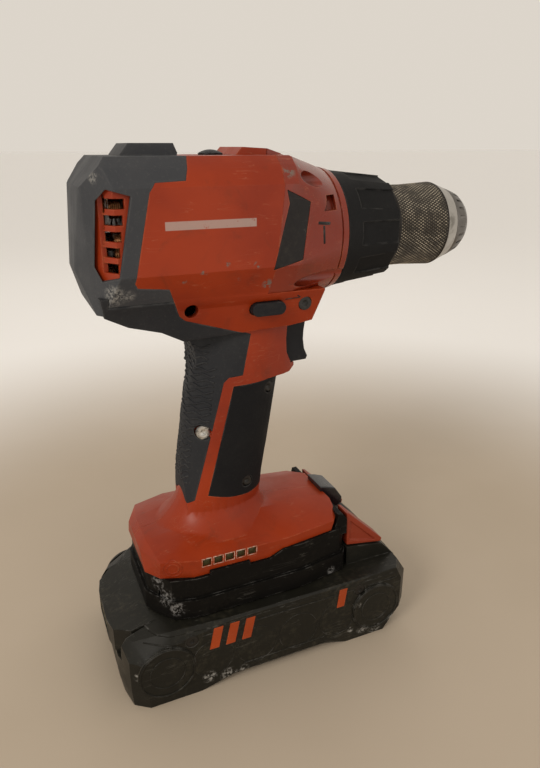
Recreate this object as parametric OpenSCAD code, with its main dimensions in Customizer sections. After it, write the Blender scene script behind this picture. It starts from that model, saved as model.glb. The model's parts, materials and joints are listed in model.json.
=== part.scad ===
// Cordless hammer drill driver with a slide-on battery.
// +X runs forward along the spindle, +Z is up, the battery's underside is z = 0.

/* [Motor housing] */
// Height of the spindle axis above the battery's underside
axis_z = 217; // [215:0.5:219]
// Half width of the motor housing
head_hw = 33; // [32:0.5:34]
// Wall of the plastic clamshell
wall = 4.5; // [4:0.1:4.8]
// Thickness of the soft rubber skins
skin = 2.2; // [1.8:0.1:2.4]

/* [Handle and foot] */
// Half width of the handle
grip_hw = 17.2; // [16.8:0.1:17.6]
// Forward lean of the handle in degrees
grip_lean = 9.2; // [8.6:0.1:9.6]
// Underside of the red foot
foot_z = 62; // [61:0.5:63]

/* [Gear housing and collar] */
// Outside radius of the round gear housing
gear_case_r = 28.6; // [28.2:0.1:29]
// Radius of the mode collar at its back
collar_r_back = 27.6; // [27:0.1:28]
// Radius of the mode collar at its front
collar_r_front = 24.2; // [24:0.1:24.8]
// Number of grip pockets around the mode collar
collar_pockets = 10; // [6:1:12]

/* [Gears] */
// Gear module
gear_m = 0.8; // [0.8:0.01:0.82]
// Backlash taken off each tooth flank
flank_gap = 0.06; // [0.05:0.01:0.08]

/* [Chuck] */
// Outside radius of the knurled sleeve
sleeve_r = 19.6; // [19.4:0.1:20]
// Bore radius of the chuck's nose
nose_bore_r = 6.8; // [6.7:0.1:7]
// Forward position of the chuck's nose
nose_x = 93; // [92:0.5:94]

/* [Battery] */
// Half width of the battery
battery_hw = 42; // [41.5:0.5:43]
// Height of the battery's deck
deck_z = 40; // [39.6:0.1:40.2]
// Distance between neighbouring cells
cell_pitch = 23.2; // [22.6:0.1:23.4]
// Radius of one cell
cell_r = 10.6; // [10.2:0.1:10.8]

/* [Hidden] */
$fn = 64;

// colours
red = [0.76, 0.20, 0.07];
gloss_red = [0.66, 0.14, 0.05];
rubber = [0.10, 0.10, 0.11];
black = [0.06, 0.06, 0.065];
steel = [0.62, 0.62, 0.64];
dark_steel = [0.22, 0.21, 0.20];
copper = [0.72, 0.38, 0.18];
green = [0.08, 0.28, 0.14];
orange = [0.85, 0.30, 0.08];

far = 60;                     // reach of a cutter past the housing
fit = 0.3;                    // gap between bodies that move past each other
run = 0.05;                   // radial clearance of a running shaft
top_z = axis_z + 34;          // flat top of the motor housing
neck_z = 194.5;               // where the gear housing meets the neck

// gear train
sun_teeth = 12;
planet_teeth = 18;
ring_teeth = 48;
pressure = 22;
tooth_steps = 5;
centre_r = gear_m * (sun_teeth + planet_teeth) / 2;
ring_out_r = 23.5;
pin_r = 2;
shaft_r = 3;
spindle_r = 6;

// chuck jaws
jaw_lean = 14;
jaw_r = 3.1;
jaw_tip_x = 71;
jaw_tip_r = 6.55;
jaw_back = 22;

// battery
cell_x0 = -83;
cell_z = 18.5;
cells = 6;

// [x, z, depth of the head's seat, head radius, end of the shank] of the cross screws
side_screws = [[-3.6, 187.6, 21.2, 3.1, -9.4], [-51.2, 127, 10.8, 3.4, 10],
    [-17.2, 145.3, 10, 2.6, 9], [-30.4, 97.6, 12.8, 2.6, 10]];
screw_r = 1.65;
// [y, z] of the gear housing's corner screws
corner_screws = [[27.4, 241.6], [25.4, 199.4]];
block_end = -12;              // where the gear housing starts to turn round
inlay_depth = 1.2;

// outlines seen from the side, as [x, z]
bumper_zone = [[-56.5, 262], [-56.5, 251.4], [-59.5, 242.2], [-71.5, 241.7], [-74, 238.3],
    [-81.7, 204.4], [-80.6, 202.4], [-67.8, 200.8], [-62.5, 187.5], [-61, 170], [-112, 170],
    [-112, 262]];
back_zone = [[-67.8, 200.8], [-62.5, 187.5], [-60, 185.2], [-28, 174.4], [-32.2, 154.8],
    [-38.8, 154.2], [-41.2, 151.8], [-57, 91.4], [-60, 89.4], [-72, 89.4], [-90, 150],
    [-112, 200.8]];
panel_zone = [[-36.8, 149.8], [0, 150.6], [-8, 92.2], [-29.5, 90.6], [-40, 91.6], [-51, 94]];
front_zone = [[-18.5, 262], [-18.5, 238], [-23.5, neck_z], [40, neck_z], [40, 262]];
inlay_zone = [[-17.6, 238], [-6.2, 232.8], [-9.6, 209.2], [-23.4, 205.6], [-16.4, 232.6]];
step_zone = [[-57, foot_z - 0.1], [-57, 64.2], [-36.6, 64.2], [-36.6, foot_z - 0.1],
    [-26, foot_z - 0.1], [-18, 65.8], [18, 65.8], [18, foot_z - 0.1]];
vent_zone = [[-89.6, 239.7], [-81, 237.2], [-87.3, 207.2], [-92.9, 205], [-95.1, 210.6],
    [-92.9, 235.6]];

// ---------------------------------------------------------------- helpers

function mirrored(half) =
    concat(half, [for (i = [len(half) - 1:-1:0]) [half[i][0], -half[i][1]]]);

function flipped(half) =
    concat(half, [for (i = [len(half) - 1:-1:0]) [-half[i][0], half[i][1]]]);

function oval(a, b, power, n) = [for (i = [0:n - 1])
    let (c = cos(360 * i / n), s = sin(360 * i / n))
    [a * sign(c) * pow(abs(c), 2 / power), b * sign(s) * pow(abs(s), 2 / power)]];

// outline in X and Z pushed along Y
module side_prism(points, y0, y1) {
    translate([0, y1, 0])
    rotate([90, 0, 0])
    linear_extrude(y1 - y0)
    polygon(points);
}

// outline in X and Y pushed up
module plan_prism(points, z0, z1) {
    translate([0, 0, z0])
    linear_extrude(z1 - z0)
    polygon(points);
}

// outline in Y and Z pushed along X
module section_prism(points, x0, x1) {
    translate([x0, 0, 0])
    rotate([90, 0, 90])
    linear_extrude(x1 - x0)
    polygon(points);
}

module block(x0, x1, y0, y1, z0, z1) {
    translate([x0, y0, z0])
    cube([x1 - x0, y1 - y0, z1 - z0]);
}

// plain rod on the spindle axis
module rod(r, x0, x1) {
    translate([x0, 0, axis_z])
    rotate([0, 90, 0])
    cylinder(r = r, h = x1 - x0);
}

module cone(r0, r1, x0, x1) {
    translate([x0, 0, axis_z])
    rotate([0, 90, 0])
    cylinder(r1 = r0, r2 = r1, h = x1 - x0);
}

module tube(r_out, r_in, x0, x1) {
    difference() {
        rod(r_out, x0, x1);
        rod(r_in, x0 - 1, x1 + 1);
    }
}

// rod across the tool
module pin_y(x, z, r, y0, y1) {
    translate([x, y1, z])
    rotate([90, 0, 0])
    cylinder(r = r, h = y1 - y0);
}

module around_axis(angle) {
    translate([0, 0, axis_z])
    rotate([angle, 0, 0])
    children();
}

// keeps the right (-1) or left (1) half
module half(side) {
    intersection() {
        children();
        if (side < 0) {
            block(-150, 150, -far, -0.04, -5, 300);
        } else {
            block(-150, 150, 0.04, far, -5, 300);
        }
    }
}

// ------------------------------------------------------------ outer shapes

module head(t) {
    hw = head_hw - t;
    intersection() {
        side_prism([[-96 + t, 191 + t], [-101.2 + t, 207.5], [-97.6 + t, 240],
            [-88.4 + t / 2, top_z - t], [-13, top_z - t], [-1, axis_z + 29 - t],
            [-1, 191 + t]], -far, far);
        section_prism(flipped([[hw - 9, top_z - t], [hw - 3.5, top_z - 4.5], [hw, 240],
            [hw, 207], [hw - 5.5, 196], [hw - 9, 191 + t]]), -120, 10);
        plan_prism(mirrored([[-101.2 + t, 8.4], [-96.8 + t, 20.2], [-87.4, hw], [0, hw]]), 180, 270);
    }
}

module neck(t) {
    intersection() {
        side_prism([[-95 + t, neck_z + 4], [-93.5 + t, 190 + t], [-84 + t, 184.8 + t],
            [-70, 180.6 + t], [-60, 175 + t], [-9, 177 + t], [1.6 - t, 178.6 + t],
            [4.6 - t, 190], [4.6 - t, neck_z + 4]], -far, far);
        section_prism(flipped([[28 - t, neck_z + 6], [26.5 - t, neck_z - 1], [24 - t, 190],
            [20 - t, 178], [17 - t, 170]]), -120, 20);
    }
}

// oval bar that leans with the handle
module lean_bar(a, b, z0, z1) {
    translate([-41.8, 0, 88])
    rotate([0, grip_lean, 0])
    translate([0, 0, z0 - 88])
    linear_extrude(z1 - z0)
    polygon(oval(a, b, 2.1, 40));
}

module handle(t) {
    intersection() {
        side_prism([[-74 + t, 190], [-68 + t, 181], [-60 + t, 176.2], [-55 + t, 172.4],
            [-52.6 + t, 168], [-52.2 + t, 162], [-52.9 + t, 156], [-55.6 + t, 144],
            [-58 + t, 131], [-59.7 + t, 120], [-60.7 + t, 108], [-60.8 + t, 94],
            [-60.2 + t, 80], [-20.6 - t, 80], [-20.6 - t, 89], [-20 - t, 100],
            [-18 - t, 110], [-15.2 - t, 120], [-12.6 - t, 130], [-10.7 - t, 139],
            [-9.4 - t, 146], [-7.4 - t, 149.4], [-1.4 - t, 152.6], [-1.4 - t, 154.2],
            [-4.6 - t, 156.2], [-7 - t, 161], [-7.4 - t, 168], [-6.6 - t, 175],
            [-6.6 - t, 190]], -far, far);
        union() {
            lean_bar(22.8 - t, grip_hw - t, 78, 205);
            plan_prism(mirrored([[-34, 15.8 - t], [-18, 15 - t], [-9, 12 - t], [-4.5, 9.6 - t],
                [-1 - t, 7 - t]]), 150.6 + t / 2, 190);
            plan_prism(mirrored([[-76 + t, 3.4 - t], [-62 + t, 6 - t], [-52, 8.8 - t],
                [-44, 12.6 - t]]), 158, 192);
        }
    }
}

module foot(t) {
    z = foot_z - (t > 0 ? 6 : 0);
    hull() {
        plan_prism(mirrored([[-85.5 + t, 19], [-80 + t, 27 - t], [-65, 32.6 - t],
            [-16, 32.6 - t], [10 - t, 29 - t], [14.4 - t, 22]]), z, z + 1);
        plan_prism(mirrored([[-86 + t, 13], [-79.6 + t, 28 - t], [-63, 33.6 - t],
            [-16, 33.6 - t], [12.4 - t, 29.4 - t], [17.2 - t, 23.4]]), 70.4 - t / 2, 71.4 - t / 2);
        plan_prism(mirrored([[-82.5 + t, 11], [-50, 15 - t / 2]]), 74 - t, 74.6 - t);
        plan_prism(mirrored([[-52, 14.5 - t / 2], [-14, 14.5 - t / 2]]), 79 - t, 79.6 - t);
        plan_prism(mirrored([[14 - t, 15.6 - t], [17.4 - t, 15]]), 75.4 - t, 76 - t);
    }
}

// concave swell where the handle grows out of the foot
module swell() {
    rings = [[74.2, 34, 27.4], [77.2, 28.8, 22.8], [81.4, 24.8, 19], [87, 22, 16.6],
        [93, 20.2, 15.2]];
    for (i = [0:3]) {
        hull() {
            for (k = [i, i + 1]) {
                translate([-41.4 + (rings[k][0] - 88) * tan(grip_lean), 0, rings[k][0]])
                linear_extrude(0.2)
                polygon(oval(rings[k][1], rings[k][2], 2.1, 40));
            }
        }
    }
}

// ------------------------------------------------------- shells and skins

module vent_slots() {
    for (i = [0:4]) {
        z = 210.5 + 6 * i;
        back = -94.4 + (z - 210.5) * 0.09;
        for (y = [-far, 24]) {
            block(back, back + 7 + (i + 1) * 0.4, y, y + far - 24, z - 1.9, z + 1.9);
            block(back - 1.4, back + 2.4, y, y + far - 24, z - 3.4, z + 3.4);
        }
    }
}

// body left inside the rubber skins
module core_shape() {
    head(skin);
    neck(skin);
    handle(skin);
}

// everything the rubber skins cover
module covered() {
    side_prism(bumper_zone, -far, far);
    side_prism(back_zone, -far, far);
    side_prism(panel_zone, -far, far);
}

module shell_outside() {
    difference() {
        union() {
            head(0);
            neck(0);
            handle(0);
            side_prism([[-32.4, 249], [-32.4, 251.2], [-29.6, 254.2], [-18.6, 253.6],
                [-18.6, 249]], -14, 14);
        }
        difference() {
            covered();
            core_shape();
        }
        side_prism(front_zone, -far, far);
        rod(gear_case_r + 0.05, -21, 40);
    }
    foot(0);
    swell();
}

module cavity() {
    head(wall);
    neck(wall - 0.5);
    difference() {
        handle(wall + 0.4);
        block(-20, 10, -14, 14, 140, 154.8);
    }
    foot(3.4);
    rod(26.9, -42, 2);
    block(-56, -26, -11, 11, 70, 96);
}

module ribs() {
    intersection() {
        head(skin + 0.8);
        union() {
            tube(36, 25.05, -79, -76);
            tube(36, 25.05, -65, -62);
            tube(36, 26.55, -44, -41);
            tube(12.6, 9.55, -99, -89.5);
        }
    }
    intersection() {
        union() {
            neck(1);
            handle(skin);
        }
        for (s = side_screws) {
            pin_y(s[0], s[1], s[3] + 1, -far, far);
        }
    }
}

module shell_half(side) {
    half(side)
    difference() {
        union() {
            difference() {
                shell_outside();
                cavity();
            }
            ribs();
        }
        vent_slots();
        rod(gear_case_r + 0.05, -21, 40);
        rod(9.55, -96, -80);
        corner_rods(screw_r + run, -24, -12);
        pin_y(-57.4, 189.4, 3.1, -far, far);
        for (s = side_screws) {
            pin_y(s[0], s[1], screw_r + run, -far, s[4] + 1);
            pin_y(s[0], s[1], s[3] + 0.2, -far, -s[2]);
        }
        direction_slot();
        block(-32, 4, -9.3, 9.3, 154.7, 177);
        block(-51.2, -34.6, -5.3, 5.3, 240, 260);
        block(-53.4, -32.4, -8.6, 8.6, 242, top_z - wall);
        status_row(0.02);
        inlay_bed() head(inlay_depth);
        step_cut();
    }
}

// part of the foot's lower edge where the black shoe rises
module step_cut() {
    side_prism(step_zone, -far, far);
}

// shallow seat of the side inlay, down to the shape it is given
module inlay_bed() {
    difference() {
        side_prism(inlay_zone, -far, far);
        children();
    }
}

module right_shell() {
    color(red) shell_half(-1);
}

module left_shell() {
    color(red) shell_half(1);
}

// long hole through the neck for the direction lever
module direction_slot() {
    z = 187.4;
    pin_y(-27.6, z, 3 + fit, -far, far);
    pin_y(-17.6, z, 3 + fit, -far, far);
    block(-27.6, -17.6, -far, far, z - 3 - fit, z + 3 + fit);
}

// raised rubber block on top of the bumper
module top_block(z0) {
    side_prism([[-80, z0], [-80, 251.4], [-76.4, 255.7], [-58.4, 255.7], [-56.8, 252],
        [-57.6, z0]], -12, 12);
}

module bumper_half(side) {
    half(side)
    difference() {
        union() {
            intersection() {
                head(0);
                side_prism(bumper_zone, -far, far);
            }
            top_block(249);
        }
        core_shape();
        side_prism(vent_zone, -far, far);
        translate([-71, 0, 250])
        cylinder(r = 3.2, h = 10);
        for (s = [-1, 1]) {
            translate([-92.6, s * 29.2, 243])
            rotate([0, 0, s * 40])
            cube([3, 1.6, 4], center = true);
        }
    }
}

module rear_bumper_right() {
    color(rubber) bumper_half(-1);
}

module rear_bumper_left() {
    color(rubber) bumper_half(1);
}

module back_grip_half(side) {
    half(side)
    difference() {
        intersection() {
            union() {
                neck(0);
                handle(0);
            }
            side_prism(back_zone, -far, far);
        }
        core_shape();
        head(0);
        swell();
        pin_y(side_screws[1][0], side_screws[1][1], side_screws[1][3] + fit, -far, far);
    }
}

module back_grip_right() {
    color(rubber) back_grip_half(-1);
}

module back_grip_left() {
    color(rubber) back_grip_half(1);
}

module grip_panel_half(side) {
    half(side)
    difference() {
        intersection() {
            handle(0);
            side_prism(panel_zone, -far, far);
        }
        core_shape();
        swell();
        for (s = [side_screws[2], side_screws[3]]) {
            pin_y(s[0], s[1], s[3] + fit, -far, far);
        }
    }
}

module grip_panel_right() {
    color(black) grip_panel_half(-1);
}

module grip_panel_left() {
    color(black) grip_panel_half(1);
}

// outside of the gear housing, blending from the motor housing to the round front
module front_shape(t) {
    intersection() {
        union() {
            head(t);
            side_prism([[-18.4, 249], [-18.4, 253.6 - t], [-5.6, 249.6 - t], [0.4, 242.4 - t],
                [0.4, 240], [-18.4, 240]], t - 14, 14 - t);
        }
        block(-60, block_end, -far, far, 180, 262);
    }
    intersection() {
        side_prism([[block_end - 1, 249], [block_end - 1, 251.6 - t], [-5.6, 249.6 - t],
            [0.4, 242.4 - t], [0.4, 236], [block_end - 1, 236]], t - 14, 14 - t);
        block(block_end - 1, 10, -far, far, 236, 262);
    }
    hull() {
        intersection() {
            head(t);
            block(block_end - 2, block_end, -far, far, neck_z, 262);
        }
        rod(gear_case_r - t, 8, 11.4);
    }
}

// forward-facing pocket of a housing screw, at each corner
module corner_rods(r, x0, x1) {
    for (c = corner_screws, s = [-1, 1]) {
        translate([0, s * c[0], c[1] - axis_z])
        rod(r, x0, x1);
    }
}

module gear_housing() {
    color(gloss_red)
    difference() {
        union() {
            intersection() {
                front_shape(0);
                side_prism(front_zone, -far, far);
            }
            rod(gear_case_r, -20.9, 11.4);
            rod(gear_case_r - 0.7, 11.4, 12.2);
            cone(gear_case_r, gear_case_r - 0.6, 12.2, 15.2);
            rod(26.5, -38, -20);
            rod(19.9, 15.2, 43);
        }
        rod(ring_out_r, -39, 1.5);
        rod(13, 1, 44);
        rod(17.2, 11, 30);
        intersection() {
            tube(gear_case_r + 4, gear_case_r - 1, -2.6, 8.6);
            block(-2.6, 8.6, -far, far, 228.6, 234.8);
        }
        corner_rods(screw_r + run, -30, -12);
        corner_rods(3.3, -14.4, 20);
        inlay_bed() front_shape(inlay_depth);
    }
}

module housing_inlays() {
    color(black)
    difference() {
        intersection() {
            front_shape(0);
            side_prism(inlay_zone, -far, far);
        }
        front_shape(inlay_depth);
    }
}

// ------------------------------------------------------- foot fittings

module shoe_outline(t, z0, z1) {
    plan_prism(mirrored([[-86 + t, 18], [-84 + t, 22], [-76, 33 - t], [-64, 36 - t],
        [-8, 35.4 - t], [18 - t, 31 - t], [21 - t, 27]]), z0, z1);
}

module battery_shoe() {
    color(black)
    difference() {
        union() {
            shoe_outline(0, 40.8, 51);
            shoe_outline(1.6, 51, foot_z);
            difference() {
                intersection() {
                    shoe_outline(1.6, foot_z - 0.1, 67);
                    step_cut();
                }
                foot(3.4);
            }
            difference() {
                side_prism([[12.8, foot_z - 1], [15.7, 73.4], [18.4, 73.4], [21, 70],
                    [21, foot_z - 1]], -28.5, 28.5);
                foot(0);
            }
        }
        block(-80.6, 30, -25.2, 25.2, 44.6, 54);
        block(-80.6, 30, -21.6, 21.6, 40, 50);
        block(-64, -16, -17, 17, 50, 80);
        for (y = [-16, 16]) {
            translate([-74, y, 50])
            cylinder(r = 1.7, h = 20);
        }
    }
}

module terminal_block() {
    color(dark_steel)
    difference() {
        block(-62, -18, -16.8, 16.8, 54.2, 61.8);
        for (i = [-2:2]) {
            block(-52, -22, i * 6.4 - 0.4, i * 6.4 + 0.4, 50, 59);
        }
    }
}

module terminal_blades() {
    color(copper)
    for (i = [-2:2]) {
        block(-52, -22, i * 6.4 - 0.4, i * 6.4 + 0.4, 40.6, 59);
    }
}

// five small windows in a row on the foot's sides
module status_row(extra) {
    for (i = [0:4]) {
        block(-60.4 + i * 5.8 - extra, -56.4 + i * 5.8 + extra, -33.7, -29.4,
            67.4 - extra, 71.2 + extra);
    }
}

module status_windows() {
    color(black)
    intersection() {
        status_row(0);
        foot(0.3);
    }
}

module work_light() {
    color(black)
    difference() {
        side_prism([[15.7, 73.6], [15.7, 79.4], [20, 78.4], [25, 76.6], [29.5, 70],
            [29.5, 66.5], [21.2, 63], [21.2, 70.2], [18.4, 73.6]], -8, 8);
        foot(0);
    }
}

module control_board() {
    color(green) {
        block(-70, -14, -22, 22, 65, 66.6);
        block(-66, -52, -16, -6, 66.6, 72);
        block(-66, -52, 6, 16, 66.6, 72);
        block(-30, -18, -10, 10, 66.6, 70);
    }
}

// socket-head screw put in from the right
module side_screw(x, z, y, r, end) {
    difference() {
        union() {
            pin_y(x, z, screw_r, -y - 0.5, end);
            pin_y(x, z, r, -y - 2, -y - 0.05);
        }
        translate([x, -y - 2, z])
        rotate([90, 0, 0])
        cylinder(r = r * 0.5, h = 2.6, center = true, $fn = 6);
    }
}

module housing_screws() {
    color(steel) {
        for (s = side_screws) {
            side_screw(s[0], s[1], s[2], s[3], s[4]);
        }
        difference() {
            union() {
                corner_rods(screw_r, -22, -14);
                corner_rods(2.8, -14.35, -12.4);
            }
            corner_rods(1.4, -13.4, -12);
        }
        difference() {
            translate([-71, 0, 251.4])
            cylinder(r = 3, h = 2.4);
            translate([-71, 0, 252.4])
            cylinder(r = 1.5, h = 3, $fn = 6);
        }
        for (y = [-16, 16]) {
            translate([-74, y, 56])
            cylinder(r = screw_r, h = 8);
        }
    }
}

// ---------------------------------------------------------------- motor

module stator_core() {
    color(dark_steel)
    difference() {
        rod(25, -82, -58);
        rod(13.4, -83, -57);
        for (i = [0:5]) {
            around_axis(60 * i + 30)
            block(-83, -57, -5, 5, 14.6, 21.5);
        }
    }
}

module stator_coils() {
    color(copper)
    for (i = [0:5], s = [-1, 1]) {
        around_axis(60 * i + 30)
        block(-86, -54, s < 0 ? -4.9 : 0.2, s < 0 ? -0.2 : 4.9, 14.8, 21.3);
    }
}

module ball_bearing(r_out, r_in, x0, x1) {
    difference() {
        rod(r_out, x0, x1);
        rod(r_in, x0 - 1, x1 + 1);
        for (x = [x0, x1]) {
            tube(r_out - 1.4, r_in + 1.2, x - 0.5, x + 0.5);
        }
    }
}

module motor_bearings() {
    color(steel) {
        ball_bearing(9.5, shaft_r + run, -96, -90);
        ball_bearing(11, 4 + run, -45.9, -40);
    }
}

module gearbox_cover() {
    color(steel)
    difference() {
        union() {
            rod(26.5, -46, -38.1);
            rod(23.4, -38.1, -36);
        }
        rod(11, -47, -40);
        rod(7, -41, -35);
    }
}

module rotor_core() {
    color(dark_steel)
    difference() {
        rod(12.8, -82, -58);
        rod(4, -83, -57);
        for (i = [0:3]) {
            around_axis(90 * i + 45)
            block(-83, -57, -3.5, 3.5, 8.6, 10.6);
        }
    }
}

module motor_shaft() {
    color(steel) {
        rod(4, -89, -36);
        rod(shaft_r, -95.6, -89);
        gear(sun_teeth, -36, -26.6, 0);
    }
}

module cooling_fan() {
    color(black)
    difference() {
        union() {
            rod(8, -55, -48);
            rod(21, -49.2, -48);
            for (i = [0:10]) {
                around_axis(i * 360 / 11)
                block(-53, -48.6, -0.8, 0.8, 6, 20.6);
            }
        }
        rod(4, -56, -47);
    }
}

// ---------------------------------------------------------------- gears

// angle swept by an involute from its base circle out to a pressure angle
function involute(a) = tan(a) * 180 / PI - a;

// half the angle of a tooth at radius r
function half_tooth(r, rb, rp, n, thin) =
    90 / n - thin / rp * 180 / PI + involute(acos(min(1, rb / rp)))
    - involute(acos(min(1, rb / max(r, rb))));

function tooth(n, r_low, r_high, turn, thin) = let (
        rp = gear_m * n / 2,
        rb = rp * cos(pressure),
        step = (r_high - r_low) / tooth_steps)
    concat(
        [for (k = [0:tooth_steps]) let (r = r_low + k * step)
            r * [cos(turn - half_tooth(r, rb, rp, n, thin)),
                sin(turn - half_tooth(r, rb, rp, n, thin))]],
        [for (k = [tooth_steps:-1:0]) let (r = r_low + k * step)
            r * [cos(turn + half_tooth(r, rb, rp, n, thin)),
                sin(turn + half_tooth(r, rb, rp, n, thin))]]);

function gear_outline(n, add, ded, turn, thin) = [for (i = [0:n - 1])
    for (p = tooth(n, gear_m * n / 2 - ded, gear_m * n / 2 + add, turn + i * 360 / n, thin)) p];

// toothed wheel on the spindle axis, one tooth pointing along +Y when turn is 0
module gear(n, x0, x1, turn) {
    translate([x0, 0, axis_z])
    rotate([90, 0, 90])
    linear_extrude(x1 - x0)
    polygon(gear_outline(n, gear_m * 0.9, gear_m * 1.1, turn, flank_gap));
}

module ring_gear(x0, x1) {
    difference() {
        rod(ring_out_r, x0, x1);
        translate([x0 - 1, 0, axis_z])
        rotate([90, 0, 90])
        linear_extrude(x1 - x0 + 2)
        polygon(gear_outline(ring_teeth, gear_m * 1.1, gear_m * 0.85,
            180 / ring_teeth, -flank_gap));
    }
}

module ring_gears() {
    color(steel) {
        ring_gear(-35, -27);
        ring_gear(-21, -12.4);
    }
}

module planet(k, x0, x1) {
    color(steel)
    around_axis(120 * k)
    translate([0, centre_r, 0])
    difference() {
        translate([0, 0, -axis_z])
        gear(planet_teeth, x0, x1, 180 / planet_teeth);
        translate([x0 - 1, 0, 0])
        rotate([0, 90, 0])
        cylinder(r = pin_r + run, h = x1 - x0 + 2);
    }
}

module carrier_pins(x0, x1) {
    for (k = [0:2]) {
        around_axis(120 * k)
        translate([x0, centre_r, 0])
        rotate([0, 90, 0])
        cylinder(r = pin_r, h = x1 - x0);
    }
}

module carrier() {
    color(steel) {
        rod(17, -26.2, -23.4);
        carrier_pins(-34.6, -26);
        gear(sun_teeth, -23.6, -12.2, 0);
    }
}

module planet_1a() {
    planet(0, -34.4, -26.6);
}

module planet_1b() {
    planet(1, -34.4, -26.6);
}

module planet_1c() {
    planet(2, -34.4, -26.6);
}

module planet_2a() {
    planet(0, -20.8, -12.4);
}

module planet_2b() {
    planet(1, -20.8, -12.4);
}

module planet_2c() {
    planet(2, -20.8, -12.4);
}

module spindle() {
    color(steel)
    difference() {
        union() {
            rod(17, -11.8, -8);
            carrier_pins(-21, -11.6);
            rod(spindle_r, -8.2, 59);
        }
        rod(2.5, 45, 60);
    }
}

module spindle_bearings() {
    color(steel) {
        ball_bearing(13, spindle_r + run, 2, 8);
        ball_bearing(13, spindle_r + run, 34.5, 41.5);
    }
}

// ring with a crown of flat-topped teeth facing along X
module crown(r_out, r_in, x0, x1, tooth_x0, tooth_x1) {
    difference() {
        union() {
            rod(r_out, x0, x1);
            for (i = [0:11]) {
                around_axis(30 * i)
                block(tooth_x0, tooth_x1, -1.3, 1.3, r_in + 0.6, r_out - 0.5);
            }
        }
        rod(r_in, min(x0, tooth_x0) - 1, max(x1, tooth_x1) + 1);
    }
}

module turning_ratchet() {
    color(dark_steel) crown(12.4, spindle_r, 12, 15, 14.5, 16.4);
}

module fixed_ratchet() {
    color(dark_steel) crown(17.1, spindle_r + 1, 19, 22, 17.2, 19.5);
}

// wire wound into a helix round the X axis
module coil(r, wire, x0, x1, turns, per_turn) {
    steps = round(turns * per_turn);
    sides = 6;
    points = [for (i = [0:steps], j = [0:sides - 1]) let (
        a = 360 * i / per_turn,
        b = 360 * j / sides,
        rr = r + wire * cos(b))
        [x0 + wire + (x1 - x0 - 2 * wire) * i / steps + wire * sin(b), rr * cos(a),
            rr * sin(a)]];
    rings = [for (i = [0:steps - 1], j = [0:sides - 1]) let (k = (j + 1) % sides)
        [i * sides + j, i * sides + k, (i + 1) * sides + k, (i + 1) * sides + j]];
    ends = [[for (j = [sides - 1:-1:0]) j],
        [for (j = [0:sides - 1]) steps * sides + j]];
    polyhedron(points, concat(rings, ends));
}

module clutch_spring() {
    color(steel)
    translate([0, 0, axis_z])
    coil(21.5, 0.9, 21, 34, 3, 32);
}

// ---------------------------------------------------------------- chuck

// path of one jaw, from its back end to its tip
module jaw_path(k, r, extra_back, extra_front) {
    run_x = jaw_back + extra_back;
    around_axis(120 * k + 90)
    translate([jaw_tip_x - run_x, 0, jaw_tip_r + run_x * tan(jaw_lean)])
    rotate([0, 90 + jaw_lean, 0])
    cylinder(r = r, h = (run_x + extra_front) / cos(jaw_lean));
}

module chuck_body() {
    color(dark_steel)
    difference() {
        union() {
            rod(16.9, 46.2, 48);
            rod(15, 47, 84);
            cone(17.3, 17.3, 83.6, 85);
            cone(17.3, 15.4, 85, 90);
            cone(15.4, 13, 90, nose_x);
        }
        rod(spindle_r, 45, 59);
        rod(5, 60.2, 64.2);
        rod(nose_bore_r, 64, nose_x + 1);
        rod(2.5, 58, 61);
        for (k = [0:2]) {
            jaw_path(k, jaw_r + fit, 0.6, 27);
        }
        for (i = [0:23]) {
            around_axis(15 * i)
            block(85.6, 91, -0.7, 0.7, 15.3, 18);
        }
    }
}

module chuck_screw() {
    color(steel)
    difference() {
        union() {
            rod(2.5, 47, 60.4);
            rod(4.4, 60.4, 63.4);
        }
        translate([61.4, 0, axis_z])
        rotate([0, 90, 0])
        cylinder(r = 2, h = 3, $fn = 6);
    }
}

module jaw(k) {
    color(steel)
    intersection() {
        jaw_path(k, jaw_r, 0, 0);
        around_axis(120 * k + 90)
        section_prism([[-2.2, nose_bore_r + 0.05], [2.2, nose_bore_r + 0.05],
            [6, nose_bore_r + 0.05 + 3.8 / tan(60)], [6, 24], [-6, 24],
            [-6, nose_bore_r + 0.05 + 3.8 / tan(60)]], 30, jaw_tip_x);
    }
}

module jaw_1() {
    jaw(0);
}

module jaw_2() {
    jaw(1);
}

module jaw_3() {
    jaw(2);
}

module chuck_sleeve() {
    color(dark_steel)
    difference() {
        union() {
            cone(sleeve_r - 1, sleeve_r, 46, 48);
            cone(sleeve_r, sleeve_r, 48, 60);
            cone(sleeve_r, sleeve_r + 0.9, 60, 76);
        }
        rod(17.4, 45, 77);
    }
}

module chuck_nut() {
    color(steel)
    tube(17.4, 15.3, 57, 64);
}

module nose_ring() {
    color(steel)
    difference() {
        cone(sleeve_r + 0.9, 17.9, 76, 83.1);
        rod(15.4, 75, 84);
    }
}

// ---------------------------------------------------------------- controls

module mode_ring() {
    color(black)
    difference() {
        union() {
            cone(collar_r_back, collar_r_back - 0.8, 15.6, 20);
            cone(collar_r_back - 0.8, collar_r_front, 20, 45);
        }
        rod(20.3, 15, 46);
        rod(22.9, 19, 36);
        for (i = [0:collar_pockets - 1]) {
            around_axis(i * 360 / collar_pockets + 17)
            translate([23.6, -5, 25.3])
            rotate([0, 6, 0])
            cube([30, 10, 6]);
        }
    }
}

module gear_selector() {
    color(black) {
        block(-45, -33, -8, 8, 244, 246.2);
        block(-43, -35, -4.8, 4.8, 246, 251.8);
        difference() {
            translate([-39, 0, 243.2])
            sphere(r = 10);
            block(-60, 0, -30, 30, 200, 251.6);
        }
    }
}

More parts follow.
